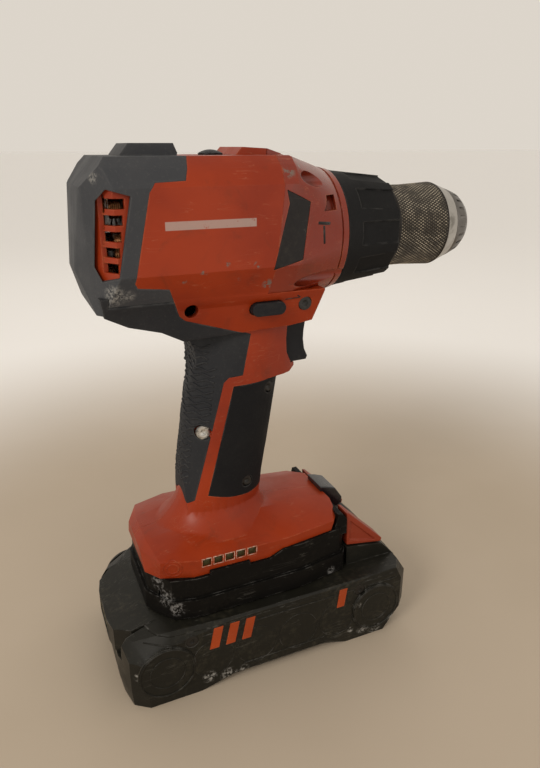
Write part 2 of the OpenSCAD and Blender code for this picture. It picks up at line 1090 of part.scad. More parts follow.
module trigger() {
    color(black) {
        side_prism([[-13.6, 176], [4, 176], [3.1, 170], [2.9, 166], [3.6, 161],
            [5.4, 157], [4.6, 155.3], [-4, 155], [-13.6, 160]], -8.8, 8.8);
        translate([-29, 0, 168])
        rotate([0, 90, 0])
        cylinder(r = 2.2, h = 16);
    }
}

module trigger_spring() {
    color(steel)
    translate([0, 0, 168])
    coil(3.4, 0.4, -28, -13.8, 7, 16);
}

module switch_module() {
    color(dark_steel)
    difference() {
        block(-42, -21.6, -8.6, 8.6, 152, 176);
        translate([-38, 0, 168])
        rotate([0, 90, 0])
        cylinder(r = 4.4, h = 20);
    }
}

module direction_lever() {
    color(black) {
        block(-27.6, -17.6, -15.2, 15.2, 184.4, 187.4);
        for (s = [-1, 1]) {
            y0 = min(s * 15, s * 26.6);
            pin_y(-27.6, 187.4, 3, y0, y0 + 11.6);
            pin_y(-17.6, 187.4, 3, y0, y0 + 11.6);
            block(-27.6, -17.6, y0, y0 + 11.6, 184.4, 190.4);
        }
    }
}

// ---------------------------------------------------------------- battery

module battery_middle(x0, x1) {
    w = battery_hw;
    section_prism(flipped([[w - 1, deck_z], [w, deck_z - 1], [w, 5.4], [w - 4.6, 0]]), x0, x1);
}

module battery_outside() {
    w = battery_hw;
    hull() {
        plan_prism(mirrored([[-103, 24], [-99.6, 36], [-92.6, w], [-62, w]]), 9, 26);
        plan_prism(mirrored([[-101.4, 26], [-99, 36.4], [-92, w - 0.6], [-66, w - 0.6]]), 0, 1);
        plan_prism(mirrored([[-103, 21], [-96.5, 32], [-88, 38], [-80, w]]), 33, 34);
        plan_prism(mirrored([[-84, 24], [-79, w - 3], [-62, w - 2]]), deck_z - 1, deck_z);
        battery_middle(-48.5, -48);
    }
    hull() {
        plan_prism(mirrored([[10, w], [49, w], [55, 36], [55.2, 20]]), 14, 33);
        plan_prism(mirrored([[16, w - 1], [40, w - 1], [46, 36], [48, 20]]), 0, 1);
        plan_prism(mirrored([[10, w - 1], [46, w - 1], [51, 34], [52, 20]]), deck_z - 1, deck_z);
        battery_middle(5, 5.5);
    }
    battery_middle(-49, 6);
}

module battery_tray() {
    color(black)
    difference() {
        union() {
            battery_outside();
            for (x = [cell_x0, cell_x0 + cells * cell_pitch - cell_pitch], s = [-1, 1]) {
                intersection() {
                    translate([0, s * (battery_hw + 0.3), 0])
                    pin_y(x, 19.5, 14.2, -0.6, 0.6);
                    block(-120, 60, -60, 60, 4, 34);
                }
            }
        }
        side_prism([[-94.4, 12], [-94.4, 27], [44.4, 27], [44.4, 12], [38, 4.6], [-86, 4.6]],
            -36.2, 36.2);
        plan_prism(mirrored([[-94.4, 30], [-91, 36.2], [44.4, 36.2]]), 26.9, 29.3);
        plan_prism(mirrored([[-90, 24], [-82, 31], [-76, 36.2], [44.4, 36.2]]), 29.2, 50);
        block(-120, 60, -60, 60, 37.6, 60);
        side_prism([[-104.4, 21.6], [-104.4, 50], [-79.9, 50], [-79.9, 21.6]], -28.1, 28.1);
        for (x = [-70, 23], s = [-1, 1]) {
            pin_y(x, 33, 1.7, min(s * 30, s * 50), max(s * 30, s * 50));
            pin_y(x, 33, 3.2, min(s * 40.6, s * 50), max(s * 40.6, s * 50));
        }
        marks();
    }
}

module battery_lid() {
    color(black)
    difference() {
        union() {
            intersection() {
                battery_outside();
                block(-120, 60, -60, 60, 37.7, 45);
            }
            difference() {
                intersection() {
                    plan_prism(mirrored([[-105, 12], [-103.4, 20], [-96, 27], [-80, 28]]),
                        21.7, deck_z);
                    side_prism([[-106, 21], [-106, 33.6], [-84, deck_z], [-80, deck_z],
                        [-80, 21]], -far, far);
                }
                block(-96, -79, -40, 40, 0, 34);
            }
            block(-80, 22, -21, 21, deck_z - 1, 45.4);
            block(-80, 22, -24.6, 24.6, 45.2, 50);
            side_prism([[22, 38], [22, 58], [28, 55], [44, 47.6], [53, 38.4]], -13.4, 13.4);
            side_prism([[22, 38], [22, 51.4], [28.6, 50.5], [44.5, 47.8], [53, 38.4]], -28, 28);
        }
        block(-78, 20, -18.6, 18.6, 30, 46.2);
        for (i = [-2:2]) {
            block(-81, -18, i * 6.4 - 1, i * 6.4 + 1, deck_z, 51);
        }
        for (s = [-1, 1]) {
            block(29.4, 38.6, min(s * 14.6, s * 22.4), max(s * 14.6, s * 22.4), 42.6, 60);
        }
        block(-110, -102.6, -12.02, 12.02, 23.48, 31.52);
    }
}

module battery_cells() {
    color(steel)
    for (i = [0:cells - 1]) {
        pin_y(cell_x0 + i * cell_pitch, cell_z, cell_r, -35, 35);
    }
}

module battery_board() {
    color(green) {
        block(-78, 18, -17, 17, 31.5, 33.1);
        for (i = [-2:2], s = [-1, 1]) {
            block(-60, -30, i * 6.4 + s * 1.5 - 0.4, i * 6.4 + s * 1.5 + 0.4, 33, 44);
        }
    }
}

module battery_screws() {
    color(steel)
    for (x = [-70, 23], s = [-1, 1]) {
        difference() {
            union() {
                pin_y(x, 33, 3, min(s * 40.7, s * 41.9), max(s * 40.7, s * 41.9));
                pin_y(x, 33, 1.65, min(s * 32, s * 41), max(s * 32, s * 41));
            }
            translate([x, s * 42, 33])
            rotate([90, 0, 0])
            cylinder(r = 1.4, h = 1.6, center = true, $fn = 6);
        }
    }
}

// raised bars on each side, three at the back and one at the front
module marks() {
    w = battery_hw;
    for (s = [-1, 1]) {
        y0 = min(s * (w - 1), s * (w + 0.3));
        y1 = max(s * (w - 1), s * (w + 0.3));
        for (i = [0:2]) {
            x = -61.5 + 8.4 * i;
            side_prism([[x, 25], [x + 2.6, 37], [x + 7.4, 37], [x + 4.8, 25]], y0, y1);
        }
        side_prism([[9, 26], [10.4, 37], [15, 37], [13.4, 26]], y0, y1);
    }
}

module battery_marks() {
    color(orange) marks();
}

module charge_gauge() {
    color(black)
    difference() {
        block(-104.6, -102.6, -12, 12, 23.5, 31.5);
        for (i = [0:3]) {
            block(-105, -104.1, -9.5 + 5 * i, -6.5 + 5 * i, 26.4, 29.4);
        }
    }
}

// wedge-shaped button with a tongue that slides in the lid
module release_button(side) {
    y0 = 16.9;
    y1 = 27;
    block(30, 38, min(side * 18, side * 22), max(side * 18, side * 22), 43, 52);
    difference() {
        side_prism([[22.6, 52], [21.6, 72], [23.4, 71.4], [45, 50.4], [44.4, 48.4], [28.6, 51]],
            min(side * y0, side * y1), max(side * y0, side * y1));
        side_prism([[24.2, 55], [24.2, 66.6], [40.4, 50.8], [30, 53]],
            min(side * (y1 - 0.8), side * (y1 + 1)), max(side * (y1 - 0.8), side * (y1 + 1)));
    }
}

module release_right() {
    color(red) release_button(-1);
}

module release_left() {
    color(red) release_button(1);
}

// ---------------------------------------------------------------- drawing

right_shell();
left_shell();
gear_housing();
rear_bumper_right();
rear_bumper_left();
back_grip_right();
back_grip_left();
grip_panel_right();
grip_panel_left();
housing_inlays();
battery_shoe();
terminal_block();
terminal_blades();
status_windows();
housing_screws();
work_light();
stator_core();
stator_coils();
motor_bearings();
gearbox_cover();
ring_gears();
spindle_bearings();
fixed_ratchet();
clutch_spring();
switch_module();
control_board();
rotor_core();
motor_shaft();
cooling_fan();
carrier();
planet_1a();
planet_1b();
planet_1c();
spindle();
planet_2a();
planet_2b();
planet_2c();
chuck_body();
chuck_screw();
turning_ratchet();
chuck_sleeve();
chuck_nut();
nose_ring();
jaw_1();
jaw_2();
jaw_3();
mode_ring();
gear_selector();
trigger();
trigger_spring();
direction_lever();
battery_tray();
battery_lid();
battery_cells();
battery_board();
battery_screws();
battery_marks();
charge_gauge();
release_right();
release_left();
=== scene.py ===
"""Looks of the cordless hammer drill: materials, worn detail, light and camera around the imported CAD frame."""
import bpy
import bmesh
import json
import math
from mathutils import Matrix, Vector
from mathutils.bvhtree import BVHTree


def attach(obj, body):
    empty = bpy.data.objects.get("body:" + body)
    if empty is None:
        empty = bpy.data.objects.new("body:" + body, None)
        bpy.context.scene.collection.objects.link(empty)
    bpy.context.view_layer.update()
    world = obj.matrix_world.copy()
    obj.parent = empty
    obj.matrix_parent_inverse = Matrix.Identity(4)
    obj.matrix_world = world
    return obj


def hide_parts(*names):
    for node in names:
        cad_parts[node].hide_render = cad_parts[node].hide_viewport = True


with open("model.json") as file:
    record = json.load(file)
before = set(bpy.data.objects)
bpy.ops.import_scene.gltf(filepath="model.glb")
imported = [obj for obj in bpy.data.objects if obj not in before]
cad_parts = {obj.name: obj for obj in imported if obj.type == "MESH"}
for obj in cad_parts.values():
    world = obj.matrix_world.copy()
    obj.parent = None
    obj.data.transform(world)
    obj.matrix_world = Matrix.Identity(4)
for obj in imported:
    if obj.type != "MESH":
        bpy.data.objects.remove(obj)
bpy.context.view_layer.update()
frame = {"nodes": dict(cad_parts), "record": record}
nodes = frame["nodes"]
MM = 0.001
scene = bpy.context.scene

AXIS_Z = 217 * MM                      # spindle axis
CELL_COUNT = 6                         # cells side by side in the battery
CELL_X0, CELL_Z, CELL_PITCH = -83 * MM, 18.5 * MM, 23.2 * MM
STRIPE_X, STRIPE_Z = (-69, -31), (224, 227.6)   # plain painted bar on the head, mm
WINDOW_COUNT, WINDOW_PITCH = 5, 5.8    # status windows in the foot, mm apart
WINDOW_X, WINDOW_Z = (-60.8, -56.0), (67.0, 71.4)   # frame of the rearmost window, mm
EDGE_RANGE = (0.02, 0.18)              # how far normals must differ to count as an edge


# ------------------------------------------------------------------ node materials

class Mat:
    """A short way to write a node material: every method adds a node and returns its output socket."""

    def __init__(self, name):
        self.m = bpy.data.materials.new(name)
        self.m.use_nodes = True
        self.t = self.m.node_tree
        self.shader = self.t.nodes["Principled BSDF"]
        self.coord = self.t.nodes.new("ShaderNodeTexCoord").outputs["Object"]

    def node(self, kind, **settings):
        n = self.t.nodes.new(kind)
        for key, value in settings.items():
            setattr(n, key, value)
        return n

    def feed(self, socket, value):
        if isinstance(value, bpy.types.NodeSocket):
            self.t.links.new(value, socket)
        elif value is not None:
            socket.default_value = value

    def math(self, operation, a, b=None):
        n = self.node("ShaderNodeMath", operation=operation)
        self.feed(n.inputs[0], a)
        self.feed(n.inputs[1], b)
        return n.outputs[0]

    def stretch(self, scale, turn=(0, 0, 0)):
        n = self.node("ShaderNodeMapping")
        self.feed(n.inputs["Vector"], self.coord)
        n.inputs["Rotation"].default_value = turn
        n.inputs["Scale"].default_value = scale
        return n.outputs[0]

    def noise(self, scale, detail=4.0, rough=0.55, vector=None, distortion=0.0):
        n = self.node("ShaderNodeTexNoise")
        self.feed(n.inputs["Vector"], vector or self.coord)
        n.inputs["Scale"].default_value = scale
        n.inputs["Detail"].default_value = detail
        n.inputs["Roughness"].default_value = rough
        n.inputs["Distortion"].default_value = distortion
        return n.outputs["Fac"]

    def cells(self, scale, feature="F1"):
        n = self.node("ShaderNodeTexVoronoi", feature=feature)
        self.feed(n.inputs["Vector"], self.coord)
        n.inputs["Scale"].default_value = scale
        return n.outputs["Distance"]

    def ramp(self, value, low, high, out_low=0.0, out_high=1.0):
        n = self.node("ShaderNodeMapRange", clamp=True)
        n.interpolation_type = "SMOOTHSTEP"
        for key, x in zip(("Value", "From Min", "From Max", "To Min", "To Max"),
                          (value, low, high, out_low, out_high)):
            self.feed(n.inputs[key], x)
        return n.outputs[0]

    def mix(self, factor, a, b):
        n = self.node("ShaderNodeMix", data_type="RGBA")
        self.feed(n.inputs[0], factor)
        self.feed(n.inputs[6], (*a, 1) if isinstance(a, tuple) else a)
        self.feed(n.inputs[7], (*b, 1) if isinstance(b, tuple) else b)
        return n.outputs[2]

    def attribute(self, name):
        return self.node("ShaderNodeAttribute", attribute_name=name).outputs["Fac"]

    def split(self):
        n = self.node("ShaderNodeSeparateXYZ")
        self.feed(n.inputs[0], self.coord)
        return n.outputs

    def spots(self, places):
        """1 near any of the places (x, y, z, radius in mm), 0 away from them."""
        total = None
        for x, y, z, r in places:
            n = self.node("ShaderNodeVectorMath", operation="DISTANCE")
            self.feed(n.inputs[0], self.coord)
            n.inputs[1].default_value = (x * MM, y * MM, z * MM)
            near = self.ramp(n.outputs["Value"], r * MM, 0.35 * r * MM)
            total = near if total is None else self.math("MAXIMUM", total, near)
        return total

    def edges(self, radius):
        """1 on convex and concave edges, from the difference between the rounded and the plain normal."""
        bevel = self.node("ShaderNodeBevel", samples=4)
        bevel.inputs["Radius"].default_value = radius
        plain = self.node("ShaderNodeNewGeometry").outputs["Normal"]
        dot = self.node("ShaderNodeVectorMath", operation="DOT_PRODUCT")
        self.feed(dot.inputs[0], bevel.outputs[0])
        self.feed(dot.inputs[1], plain)
        return self.ramp(self.math("SUBTRACT", 1.0, dot.outputs["Value"]), *EDGE_RANGE)

    def finish(self, colour, rough, bump=None, bump_distance=0.1 * MM, strength=0.6, metal=0.0, coat=0.0,
               coat_rough=0.2, soft_edge=0.5 * MM, specular=0.5):
        s = self.shader
        self.feed(s.inputs["Base Color"], (*colour, 1) if isinstance(colour, tuple) else colour)
        self.feed(s.inputs["Roughness"], rough)
        s.inputs["Metallic"].default_value = metal
        s.inputs["Coat Weight"].default_value = coat
        s.inputs["Coat Roughness"].default_value = coat_rough
        s.inputs["Specular IOR Level"].default_value = specular
        normal = None
        if soft_edge:
            bevel = self.node("ShaderNodeBevel", samples=4)
            bevel.inputs["Radius"].default_value = soft_edge
            normal = bevel.outputs[0]
        if bump is not None:
            n = self.node("ShaderNodeBump")
            n.inputs["Strength"].default_value = strength
            n.inputs["Distance"].default_value = bump_distance
            self.feed(n.inputs["Height"], bump)
            self.feed(n.inputs["Normal"], normal)
            normal = n.outputs[0]
        self.feed(s.inputs["Normal"], normal)
        return self.m


def scratches(m, scale=60.0, turn=(0.4, 0.2, 0.9)):
    """Thin broken lines, as sliding over benches leaves."""
    lines = m.noise(scale * 8, 2.0, 0.5, m.stretch((0.08, 1.0, 1.0), turn))
    broken = m.noise(scale * 1.4, 3.0, 0.6)
    thin = m.math("SUBTRACT", 1.0, m.ramp(m.math("ABSOLUTE", m.math("SUBTRACT", lines, 0.5)), 0.0, 0.012))
    return m.math("MULTIPLY", thin, m.ramp(broken, 0.52, 0.62))


def red_plastic(name, base, deep, rough, coat, stripe=False, worn=(), specular=0.25):
    """Glass-filled nylon with a fine spark-eroded grain, grime and small gouges."""
    m = Mat(name)
    tone = m.mix(m.ramp(m.noise(22, 5), 0.35, 0.7), base, deep)
    grime = m.math("MULTIPLY", m.ramp(m.noise(75, 8, 0.7, distortion=0.6), 0.52, 0.75), 0.32)
    tone = m.mix(grime, tone, (0.07, 0.020, 0.008))
    edge = m.edges(0.9 * MM)
    rub = m.math("MULTIPLY", edge, m.ramp(m.noise(160, 4), 0.45, 0.62))
    tone = m.mix(m.math("MULTIPLY", rub, 0.45), tone, (0.52, 0.15, 0.06))
    lines = scratches(m)
    tone = m.mix(m.math("MULTIPLY", lines, 0.25), tone, (0.50, 0.20, 0.11))
    dents = 0.0
    if worn:
        ragged = m.ramp(m.noise(420, 5, 0.65), 0.46, 0.56)
        gouge = m.math("MULTIPLY", m.spots(worn), ragged)
        tone = m.mix(gouge, tone, (0.16, 0.11, 0.09))
        dents = m.math("MULTIPLY", gouge, -3.0)
    if stripe:
        x, _, z = m.split()
        inside = None
        for value, (low, high) in ((x, STRIPE_X), (z, STRIPE_Z)):
            band = m.math("MULTIPLY", m.ramp(value, low * MM, (low + 0.3) * MM),
                          m.ramp(value, high * MM, (high - 0.3) * MM))
            inside = band if inside is None else m.math("MULTIPLY", inside, band)
        chipped = m.ramp(m.noise(420, 6, 0.75), 0.30, 0.42)
        paint = m.math("MULTIPLY", inside, chipped)
        tone = m.mix(m.math("MULTIPLY", paint, 0.6), tone, (0.42, 0.38, 0.34))
    grain = m.noise(2600, 2.0, 0.5)
    height = m.math("ADD", m.math("MULTIPLY", grain, 0.5), m.math("MULTIPLY", lines, -0.6))
    height = m.math("ADD", height, dents)
    dull = m.ramp(m.noise(48, 5), 0.3, 0.7, rough - 0.07, rough + 0.1)
    return m.finish(tone, dull, height, 0.06 * MM, 0.55, coat=coat, coat_rough=0.22, specular=specular)


def elastomer(name, base=(0.030, 0.030, 0.032), dusty=(0.14, 0.135, 0.125), dust=0.35, worn=(), specular=0.3):
    """Soft moulded rubber: matt, with stipple, ground-in dust and paler rubbed edges."""
    m = Mat(name)
    cloud = m.ramp(m.noise(34, 7, 0.65, distortion=0.4), 0.45, 0.75)
    speck = m.ramp(m.noise(900, 3, 0.6), 0.55, 0.7)
    tone = m.mix(m.math("MULTIPLY", m.math("ADD", cloud, speck), dust * 0.34), base, dusty)
    rub = m.math("MULTIPLY", m.edges(1.2 * MM), m.ramp(m.noise(120, 4), 0.38, 0.6))
    tone = m.mix(m.math("MULTIPLY", rub, 0.35), tone, (0.15, 0.147, 0.14))
    height = m.math("MULTIPLY", m.cells(1500), 0.8)
    if worn:
        scuff = m.math("MULTIPLY", m.spots(worn), m.ramp(m.noise(700, 6, 0.75), 0.42, 0.58))
        tone = m.mix(m.math("MULTIPLY", scuff, 0.8), tone, (0.28, 0.27, 0.25))
        height = m.math("ADD", height, m.math("MULTIPLY", scuff, 1.5))
    rough = m.ramp(m.noise(60, 4), 0.3, 0.7, 0.55, 0.72)
    return m.finish(tone, rough, height, 0.09 * MM, 0.6, soft_edge=0.9 * MM, specular=specular)


def black_plastic(name, base=(0.010, 0.0095, 0.009), dust_tone=(0.075, 0.067, 0.05), dust=0.45, rough=0.42,
                  worn=(), paint=(0.34, 0.33, 0.31), specular=0.2):
    """Black glass-filled plastic with yellowish dust in the hollows and bright scuffs on the corners."""
    m = Mat(name)
    cloud = m.ramp(m.noise(26, 8, 0.7, distortion=0.8), 0.42, 0.72)
    fine = m.ramp(m.noise(420, 5, 0.7), 0.42, 0.7)
    tone = m.mix(m.math("MULTIPLY", m.math("MULTIPLY", cloud, fine), dust), base, dust_tone)
    lines = scratches(m, 48.0, (0.1, 0.9, 0.3))
    tone = m.mix(m.math("MULTIPLY", lines, 0.3), tone, (0.13, 0.125, 0.11))
    rub = m.math("MULTIPLY", m.edges(0.9 * MM), m.ramp(m.noise(140, 6, 0.7), 0.48, 0.6))
    tone = m.mix(m.math("MULTIPLY", rub, 0.5), tone, (0.15, 0.147, 0.138))
    if worn:
        scuff = m.math("MULTIPLY", m.spots(worn), m.ramp(m.noise(480, 7, 0.75), 0.48, 0.56))
        tone = m.mix(m.math("MULTIPLY", scuff, 0.85), tone, paint)
    height = m.math("ADD", m.math("MULTIPLY", m.noise(2100, 2), 0.6), m.math("MULTIPLY", lines, -0.5))
    dull = m.ramp(m.noise(52, 5), 0.3, 0.7, rough - 0.08, rough + 0.12)
    return m.finish(tone, dull, height, 0.07 * MM, 0.6, specular=specular)


def metal(name, base, rough, dirt=0.35, brushed=(1.0, 0.06, 0.06)):
    """Machined or brushed metal with fine lines, stains and uneven polish."""
    m = Mat(name)
    grain = m.noise(1500, 3, 0.6, m.stretch(brushed))
    cloud = m.ramp(m.noise(130, 6, 0.7), 0.48, 0.68)
    tone = m.mix(m.math("MULTIPLY", cloud, dirt), base, (0.10, 0.09, 0.07))
    dull = m.ramp(m.noise(210, 4), 0.3, 0.7, rough - 0.07, rough + 0.12)
    return m.finish(tone, dull, grain, 0.03 * MM, 0.5, metal=1.0, soft_edge=0.3 * MM)


def screw_metal(name):
    """Blackened screws, rubbed bright where the clear coat is gone."""
    m = Mat(name)
    bare = m.spots([(-51.2, -12.9, 127, 5.5), (-13.4, -27.4, 241.6, 5.0), (-13.4, 27.4, 241.6, 5.0),
                    (-13.4, -25.4, 199.4, 5.0), (-71, 0, 253, 5.0), (-51.2, 10, 127, 5.0)])
    patchy = m.ramp(m.noise(420, 5, 0.7), 0.3, 0.55)
    tone = m.mix(m.math("MULTIPLY", bare, patchy), (0.045, 0.043, 0.041), (0.62, 0.60, 0.56))
    rough = m.ramp(m.noise(300, 3), 0.3, 0.7, 0.3, 0.46)
    return m.finish(tone, rough, m.noise(1600, 3), 0.03 * MM, 0.4, metal=0.9, soft_edge=0.3 * MM)


def knurled_steel(name):
    """Blackened steel diamonds, darkest in the grooves, paler towards the tips and rubbed to bare metal on them.
    """
    m = Mat(name)
    tip = m.attribute("tip")
    patchy = m.ramp(m.noise(160, 5, 0.65), 0.38, 0.62)
    tone = m.mix(m.ramp(tip, 0.15, 0.65), (0.030, 0.027, 0.024), (0.090, 0.080, 0.067))
    bare = m.math("MULTIPLY", m.ramp(tip, 0.62, 0.92), patchy)
    tone = m.mix(bare, tone, (0.56, 0.49, 0.38))
    rough = m.ramp(m.noise(300, 3), 0.3, 0.7, 0.34, 0.5)
    return m.finish(tone, rough, m.noise(1800, 3), 0.03 * MM, 0.4, metal=0.85, soft_edge=None)


def board_lacquer(name):
    """Green solder resist over a web of tracks."""
    m = Mat(name)
    tracks = m.ramp(m.cells(300, "DISTANCE_TO_EDGE"), 0.02, 0.06)
    tone = m.mix(tracks, (0.09, 0.22, 0.11), (0.03, 0.11, 0.055))
    return m.finish(tone, m.ramp(m.noise(80), 0.3, 0.7, 0.25, 0.4), m.noise(900), 0.04 * MM, 0.4)


def windings(name):
    """Rows of enamelled copper wire."""
    m = Mat(name)
    wires = m.node("ShaderNodeTexWave", wave_type="BANDS", bands_direction="X")
    m.feed(wires.inputs["Vector"], m.coord)
    wires.inputs["Scale"].default_value = 400
    tone = m.mix(wires.outputs["Fac"], (0.30, 0.11, 0.04), (0.66, 0.32, 0.14))
    dull = m.ramp(m.noise(90), 0.3, 0.7, 0.28, 0.42)
    return m.finish(tone, dull, wires.outputs["Fac"], 0.2 * MM, 0.7, metal=0.8)


def frame_paint():
    """Pale worn paint round the status windows."""
    m = Mat("frame_paint")
    tone = m.mix(m.ramp(m.noise(700, 4), 0.4, 0.6), (0.58, 0.42, 0.34), (0.42, 0.14, 0.07))
    return m.finish(tone, 0.5, m.noise(1500), 0.03 * MM, 0.4)


RED, DEEP = (0.30, 0.030, 0.003), (0.22, 0.019, 0.002)

# bright scuffs and gouges, each (x, y, z, radius) in mm
SHELL_MARKS = [(-54, -33, 207, 2.0), (-44, -33, 210, 1.8), (-31, -33, 208.5, 2.0), (-24.6, -29, 199.4, 3.4),
               (-50, -33, 246, 1.6), (-38, -31, 203, 1.4), (-62, -32, 203.5, 1.6)]
CASE_MARKS = [(-15.7, -30, 244.5, 3.6), (-9, -27, 247, 1.8), (-3, -25, 206, 1.4)]
BUMPER_MARKS = [(-94, -26, 244, 3.4), (-98.7, -24, 199, 3.0), (-90, -30, 199.5, 6.5), (-84, -31, 198.5, 4.0),
                (-61, -20, 250.5, 2.0), (-94, 26, 244, 3.4), (-98.7, 24, 199, 3.0)]
SHOE_MARKS = [(-83, -26, 58, 6.0), (-80, -30, 52, 6.5), (-74, -33.5, 47, 5.0), (10, -31, 43, 3.5)]
TRAY_MARKS = [(-96, -39, 18, 3.4), (-62, -42, 8, 4.5), (-52, -41, 5.5, 5.5), (-44, -40, 6, 4.0),
              (26, -41, 6, 4.5), (34, -41, 4, 5.0), (44, -41, 8, 4.0), (18, -42, 8, 2.5), (22, -42, 24, 2.4),
              (48, 40, 8, 5.0), (-88, 40, 6, 6.0)]

MATERIALS = {
    "red_shell": red_plastic("red_shell", RED, DEEP, 0.42, 0.04, stripe=True, worn=SHELL_MARKS),
    "gloss_red_case": red_plastic("gloss_red_case", (0.24, 0.028, 0.009), (0.18, 0.019, 0.007), 0.24, 0.3,
                                  worn=CASE_MARKS),
    "release_red": red_plastic("release_red", (0.24, 0.032, 0.012), DEEP, 0.45, 0.1),
    "bumper_rubber": elastomer("bumper_rubber", (0.036, 0.038, 0.043), worn=BUMPER_MARKS),
    "grip_rubber": elastomer("grip_rubber", (0.018, 0.019, 0.022), dust=0.2, specular=0.2),
    "panel_plastic": elastomer("panel_plastic", (0.009, 0.009, 0.010), (0.06, 0.057, 0.05), 0.18, specular=0.1),
    "inlay_plastic": black_plastic("inlay_plastic", (0.014, 0.012, 0.012), dust=0.2, rough=0.5),
    "shoe_plastic": black_plastic("shoe_plastic", (0.006, 0.0055, 0.005), dust=0.12, rough=0.34,
                                  worn=SHOE_MARKS, paint=(0.22, 0.215, 0.21), specular=0.06),
    "battery_plastic": black_plastic("battery_plastic", (0.011, 0.0105, 0.008), (0.075, 0.066, 0.045), 0.5,
                                     0.36, worn=TRAY_MARKS, specular=0.2),
    "collar_plastic": elastomer("collar_plastic", (0.010, 0.010, 0.0105), (0.05, 0.048, 0.044), 0.25,
                                specular=0.1),
    "control_plastic": black_plastic("control_plastic", (0.012, 0.012, 0.014), dust=0.2, rough=0.5,
                                     specular=0.16),
    "lamp_plastic": black_plastic("lamp_plastic", (0.008, 0.008, 0.010), dust=0.1, rough=0.18, specular=0.5),
    "status_plastic": black_plastic("status_plastic", (0.045, 0.040, 0.016), (0.18, 0.165, 0.07), 0.5, 0.22),
    "fan_plastic": black_plastic("fan_plastic", dust=0.6),
    "insulator": black_plastic("insulator", (0.02, 0.02, 0.02)),
    "mark_orange": red_plastic("mark_orange", (0.42, 0.060, 0.010), (0.30, 0.042, 0.008), 0.5, 0.0),
    "board": board_lacquer("board"),
    "copper_wire": windings("copper_wire"),
    "contact_brass": metal("contact_brass", (0.72, 0.52, 0.24), 0.3),
    "screw_steel": screw_metal("screw_steel"),
    "nose_steel": metal("nose_steel", (0.44, 0.42, 0.39), 0.36, dirt=0.55, brushed=(1.0, 0.1, 0.1)),
    "chuck_steel": metal("chuck_steel", (0.17, 0.16, 0.15), 0.36, dirt=0.3),
    "chuck_screw_steel": metal("chuck_screw_steel", (0.25, 0.24, 0.23), 0.4),
    "jaw_steel": metal("jaw_steel", (0.30, 0.29, 0.27), 0.35),
    "gear_steel": metal("gear_steel", (0.46, 0.45, 0.43), 0.32),
    "bearing_steel": metal("bearing_steel", (0.62, 0.62, 0.61), 0.18, dirt=0.15),
    "lamination_steel": metal("lamination_steel", (0.28, 0.27, 0.26), 0.42, brushed=(3.0, 0.05, 0.05)),
    "cover_metal": metal("cover_metal", (0.56, 0.56, 0.57), 0.45),
    "spring_steel": metal("spring_steel", (0.42, 0.42, 0.41), 0.3),
    "cell_steel": metal("cell_steel", (0.30, 0.42, 0.42), 0.4, dirt=0.1),
    "knurled_steel": knurled_steel("knurled_steel"),
    "frame_paint": frame_paint(),
}
SLOT_OF = {row["node"]: row["material_slot"] for row in frame["record"]["subparts"]}
BODY_OF = {n: body for body, members in frame["record"]["behaviour"]["bodies"].items() for n in members}

# widths of the moulded rounding put on the edges of the CAD pieces, in mm
ROUNDED = {
    "rear_bumper_right": 1.6, "rear_bumper_left": 1.6, "right_shell": 0.7, "left_shell": 0.7,
    "gear_housing": 0.8, "battery_shoe": 0.9, "battery_tray": 1.0, "battery_lid": 0.8, "mode_ring": 0.6,
    "trigger": 1.4, "direction_lever": 0.7, "back_grip_right": 0.6, "back_grip_left": 0.6,
    "grip_panel_right": 0.5, "grip_panel_left": 0.5, "release_right": 0.8, "release_left": 0.8,
    "work_light": 0.8, "housing_inlays": 0.4, "gear_selector": 0.6, "battery_marks": 0.15,
    "chuck_body": 0.25, "nose_ring": 0.3,
}
# sides with holes in them, which would not survive being merged into one face
KEEP_TRIANGLES = ("battery_tray", "battery_lid")


def round_edges(obj, width, flatten):
    """Softens a CAD piece with modifiers only: weld, merge of flat triangles, bevel and even shading."""
    mesh = obj.data
    if mesh.has_custom_normals:
        mesh.attributes.remove(mesh.attributes["custom_normal"])
    mesh.polygons.foreach_set("use_smooth", [True] * len(mesh.polygons))
    for name in ("sharp_edge", "sharp_face"):
        if name in mesh.attributes:
            mesh.attributes.remove(mesh.attributes[name])
    obj.modifiers.new("Weld", "WELD").merge_threshold = 0.004 * MM
    if flatten:
        flat = obj.modifiers.new("Flat", "DECIMATE")
        flat.decimate_type = "DISSOLVE"
        flat.angle_limit = math.radians(0.6)
    if width:
        bevel = obj.modifiers.new("Round", "BEVEL")
        bevel.width = width * MM
        bevel.segments = 3
        bevel.limit_method = "ANGLE"
        bevel.angle_limit = math.radians(24)
        bevel.use_clamp_overlap = True
        bevel.miter_outer = "MITER_ARC"
    shade = obj.modifiers.new("Shade", "WEIGHTED_NORMAL")
    shade.weight = 80
    shade.keep_sharp = True


for name, obj in nodes.items():
    obj.data.materials.clear()
    obj.data.materials.append(MATERIALS[SLOT_OF[name]])
    round_edges(obj, ROUNDED.get(name, 0), name not in KEEP_TRIANGLES)


# ------------------------------------------------------------------ mesh pieces

def piece(name, verts, faces, material, body, smooth=True):
    """Makes a mesh piece in the shared frame and sets it riding on a CAD body."""
    mesh = bpy.data.meshes.new(name)
    mesh.from_pydata([tuple(v) for v in verts], [], faces)
    mesh.validate()
    work = bmesh.new()
    work.from_mesh(mesh)
    bmesh.ops.recalc_face_normals(work, faces=work.faces)
    work.to_mesh(mesh)
    work.free()
    mesh.polygons.foreach_set("use_smooth", [smooth] * len(mesh.polygons))
    obj = bpy.data.objects.new(name, mesh)
    scene.collection.objects.link(obj)
    mesh.materials.append(MATERIALS[material])
    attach(obj, body)
    return obj


